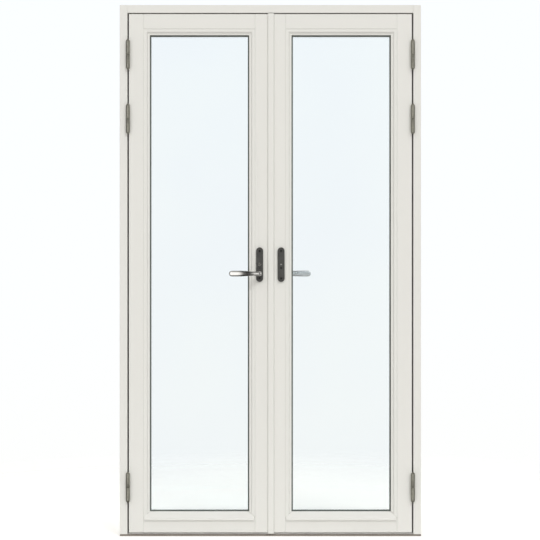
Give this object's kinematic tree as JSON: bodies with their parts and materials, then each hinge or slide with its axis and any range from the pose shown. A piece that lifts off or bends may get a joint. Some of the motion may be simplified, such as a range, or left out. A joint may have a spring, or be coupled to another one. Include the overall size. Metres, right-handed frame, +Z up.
{
  "type": "glazed double door with frame",
  "caption": "Outward-opening glazed timber double door in its frame, with lift-off hinges, lever handles, rod bolts, drip beads and an aluminium threshold.",
  "frame": {"origin": "middle of the threshold's underside, half way between the frame's outer and inner faces", "axes": "+Z up, +X to the right as seen from outside, -Y towards the outside, where both leaves open"},
  "size_m": [1.18, 0.175, 2.08],
  "materials": {
    "painted_timber": "white opaque satin paint",
    "threshold_strip": "matt brown-grey composite",
    "threshold_aluminium": "natural anodised",
    "seal_rubber": "matt",
    "setting_block": "matt",
    "glazing_gasket": "matt",
    "pane_glass": "clear float glass",
    "spacer_metal": "mill finish",
    "hinge_steel": "zinc plated",
    "screw_steel": "zinc plated",
    "plate_coating": "satin dark grey",
    "lever_steel": "polished satin",
    "cylinder_nickel": "satin nickel",
    "lock_steel": "zinc plated"
  },
  "bodies": {
    "frame": {"jamb_left": "painted_timber", "jamb_right": "painted_timber", "head": "painted_timber", "threshold_base": "threshold_strip", "threshold_plate": "threshold_aluminium", "frame_seal": "seal_rubber", "left_frame_hinges": "hinge_steel", "right_frame_hinges": "hinge_steel", "hinge_pins": "screw_steel", "frame_screws": "screw_steel", "bolt_keeps": "lock_steel"},
    "left_leaf": {"left_hinge_stile": "painted_timber", "left_meeting_stile": "painted_timber", "left_top_rail": "painted_timber", "left_bottom_rail": "painted_timber", "left_panes": "pane_glass", "left_spacer": "spacer_metal", "left_gaskets": "glazing_gasket", "left_setting_blocks": "setting_block", "left_glazing_beads": "painted_timber", "left_drip_bead": "painted_timber", "left_leaf_hinges": "hinge_steel", "left_screws": "screw_steel", "left_outer_plate": "plate_coating", "left_inner_plate": "plate_coating", "left_gear_case": "lock_steel", "left_faceplate": "lock_steel", "left_astragal": "painted_timber", "left_cylinder": "cylinder_nickel"},
    "right_leaf": {"right_hinge_stile": "painted_timber", "right_meeting_stile": "painted_timber", "right_top_rail": "painted_timber", "right_bottom_rail": "painted_timber", "right_panes": "pane_glass", "right_spacer": "spacer_metal", "right_gaskets": "glazing_gasket", "right_setting_blocks": "setting_block", "right_glazing_beads": "painted_timber", "right_drip_bead": "painted_timber", "right_leaf_hinges": "hinge_steel", "right_screws": "screw_steel", "right_outer_plate": "plate_coating", "right_inner_plate": "plate_coating", "right_gear_case": "lock_steel", "right_faceplate": "lock_steel", "right_cover_strip": "painted_timber", "right_meeting_seal": "seal_rubber"},
    "left_handle": {"left_outer_lever": "lever_steel", "left_inner_lever": "lever_steel", "left_spindle": "lock_steel", "left_pinion": "lock_steel"},
    "right_handle": {"right_inner_lever": "lever_steel", "right_spindle": "lock_steel", "right_pinion": "lock_steel"},
    "left_upper_rod": {"left_upper_rod": "lock_steel"},
    "left_lower_rod": {"left_lower_rod": "lock_steel"},
    "right_upper_rod": {"right_upper_rod": "lock_steel"},
    "right_lower_rod": {"right_lower_rod": "lock_steel"},
    "key": {"left_key_plug": "cylinder_nickel", "left_thumb_turn": "cylinder_nickel"}
  },
  "joints": [
    {"name": "left_swing", "type": "hinge", "parent": "frame", "child": "left_leaf", "pos_m": [-0.557, -0.0665, 1.04], "axis": [0, 0, -1], "range_deg": [0, 100]},
    {"name": "right_swing", "type": "hinge", "parent": "frame", "child": "right_leaf", "pos_m": [0.557, -0.0665, 1.04], "axis": [0, 0, 1], "range_deg": [0, 100]},
    {"name": "left_handle_turn", "type": "hinge", "parent": "left_leaf", "child": "left_handle", "pos_m": [-0.042, -0.0225, 1.028], "axis": [0, -1, 0], "range_deg": [0, 90]},
    {"name": "left_upper_bolt", "type": "slide", "parent": "left_leaf", "child": "left_upper_rod", "axis": [0, 0, 1], "range_m": [0, 0.0133]},
    {"name": "left_lower_bolt", "type": "slide", "parent": "left_leaf", "child": "left_lower_rod", "axis": [0, 0, -1], "range_m": [0, 0.0133]},
    {"name": "right_handle_turn", "type": "hinge", "parent": "right_leaf", "child": "right_handle", "pos_m": [0.042, -0.0225, 1.028], "axis": [0, 1, 0], "range_deg": [0, 90]},
    {"name": "right_upper_bolt", "type": "slide", "parent": "right_leaf", "child": "right_upper_rod", "axis": [0, 0, 1], "range_m": [0, 0.0133]},
    {"name": "right_lower_bolt", "type": "slide", "parent": "right_leaf", "child": "right_lower_rod", "axis": [0, 0, -1], "range_m": [0, 0.0133]},
    {"name": "key_turn", "type": "hinge", "parent": "left_leaf", "child": "key", "pos_m": [-0.042, -0.0225, 1.064], "axis": [0, -1, 0], "range_deg": [-90, 90]}
  ],
  "couplings": [
    {"joint": "right_swing", "follows": "left_swing", "ratio": 0.88},
    {"joint": "left_upper_bolt", "follows": "left_handle_turn", "m_per_rad": 0.0084},
    {"joint": "left_lower_bolt", "follows": "left_handle_turn", "m_per_rad": 0.0084},
    {"joint": "right_upper_bolt", "follows": "right_handle_turn", "m_per_rad": 0.0084},
    {"joint": "right_lower_bolt", "follows": "right_handle_turn", "m_per_rad": 0.0084}
  ]
}
